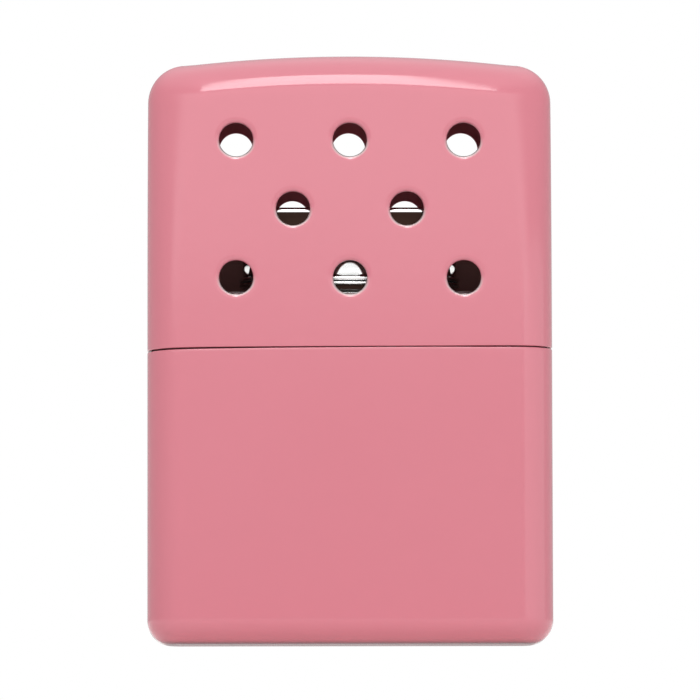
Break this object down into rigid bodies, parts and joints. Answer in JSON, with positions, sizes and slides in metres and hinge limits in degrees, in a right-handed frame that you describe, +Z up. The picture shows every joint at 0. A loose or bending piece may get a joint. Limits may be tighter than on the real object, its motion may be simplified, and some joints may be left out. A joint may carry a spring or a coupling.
{
  "type": "catalytic hand warmer",
  "caption": "Pocket hand warmer with a painted fuel case, a slip-on lid with round vents, and a slotted catalytic burner that pushes onto an oblong filler neck.",
  "frame": {"origin": "centre of the flat base of the fuel case", "axes": "+Z up towards the lid, +X along the width to the right as seen from the front, front face towards -Y"},
  "size_m": [0.0508, 0.013, 0.0741],
  "materials": {
    "pink_paint": "glossy pink enamel over drawn sheet metal",
    "chrome_plate": "bright chrome plate",
    "burner_chrome": "polished chrome plate, lightly heat-tinted",
    "bare_steel": "stamped sheet, bare",
    "screen_wire": "drawn wire, woven",
    "solder": "dull soft solder",
    "cotton": "loose cotton wool",
    "felt": "pressed wool felt",
    "catalyst_fibre": "glass-fibre wool, grey with platinum"
  },
  "bodies": {
    "tank": {"lower_case": "pink_paint", "tank_collar": "chrome_plate", "filler_neck": "chrome_plate", "collar_solder": "solder", "neck_solder": "solder", "cotton_wadding": "cotton", "wick_felt": "felt", "felt_bar": "bare_steel"},
    "lid": {"vented_lid": "pink_paint"},
    "burner": {"burner_housing": "burner_chrome", "burner_ferrule": "burner_chrome", "burner_base_plate": "bare_steel", "lower_screen": "screen_wire", "upper_screen": "screen_wire", "catalyst_pad": "catalyst_fibre"}
  },
  "joints": [
    {"name": "lid_lift", "type": "slide", "parent": "tank", "child": "lid", "axis": [0, 0, 1], "range_m": [0, 0.032]},
    {"name": "burner_lift", "type": "slide", "parent": "tank", "child": "burner", "axis": [0, 0, 1], "range_m": [0, 0.01]}
  ]
}
